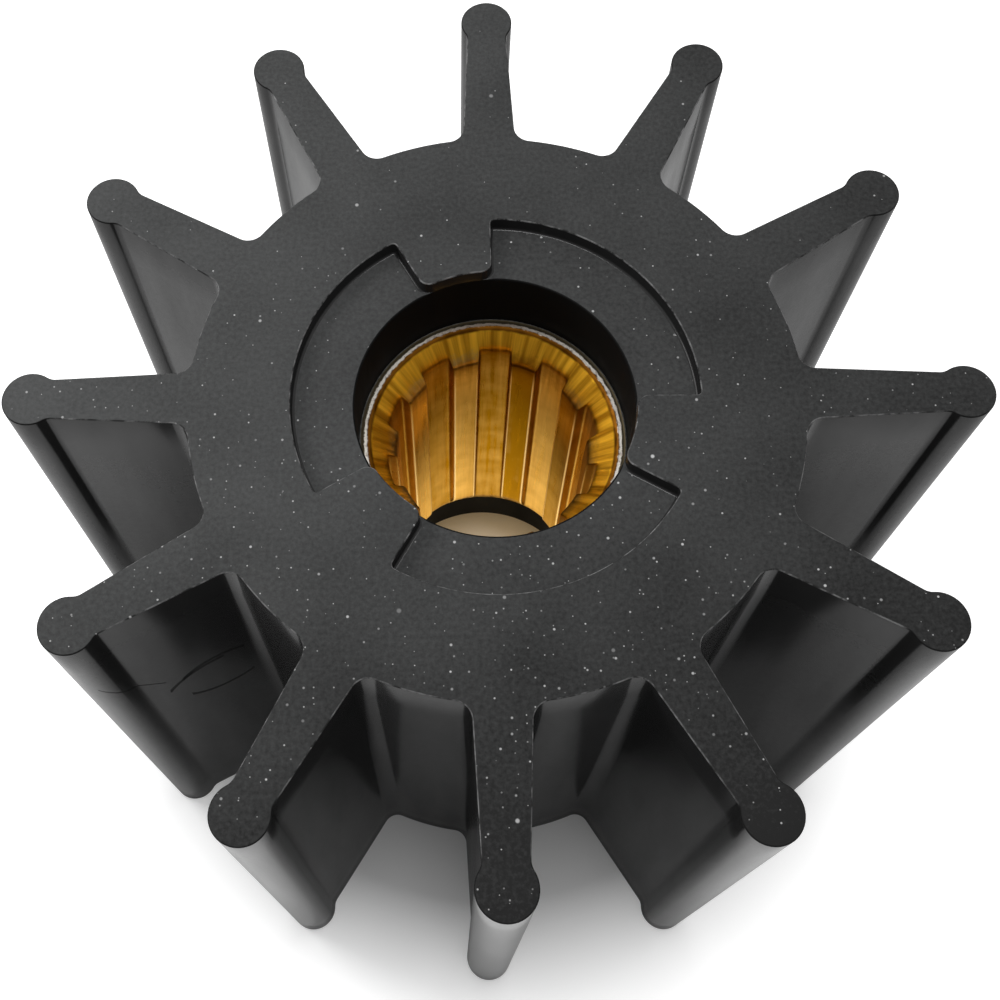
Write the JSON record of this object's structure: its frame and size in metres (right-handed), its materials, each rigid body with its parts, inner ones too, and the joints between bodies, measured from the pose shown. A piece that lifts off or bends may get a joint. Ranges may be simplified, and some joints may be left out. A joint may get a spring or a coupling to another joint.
{
  "type": "rubber pump impeller",
  "caption": "Flexible pump impeller of black rubber: straight bulb-tipped vanes round a hub, a seat in each end and a splined brass bush moulded inside.",
  "frame": {"origin": "centre of the underside, on the shaft axis; the impeller stands on that end", "axes": "+Z along the shaft axis towards the face with the tabbed seat; +X along one vane"},
  "size_m": [0.065, 0.065, 0.05],
  "materials": {
    "rubber": "matt moulded rubber with a little pale dust",
    "brass": "broached brass, bright on the rim"
  },
  "bodies": {
    "root": {"rubber_impeller": "rubber", "splined_bush": "brass"}
  },
  "joints": []
}
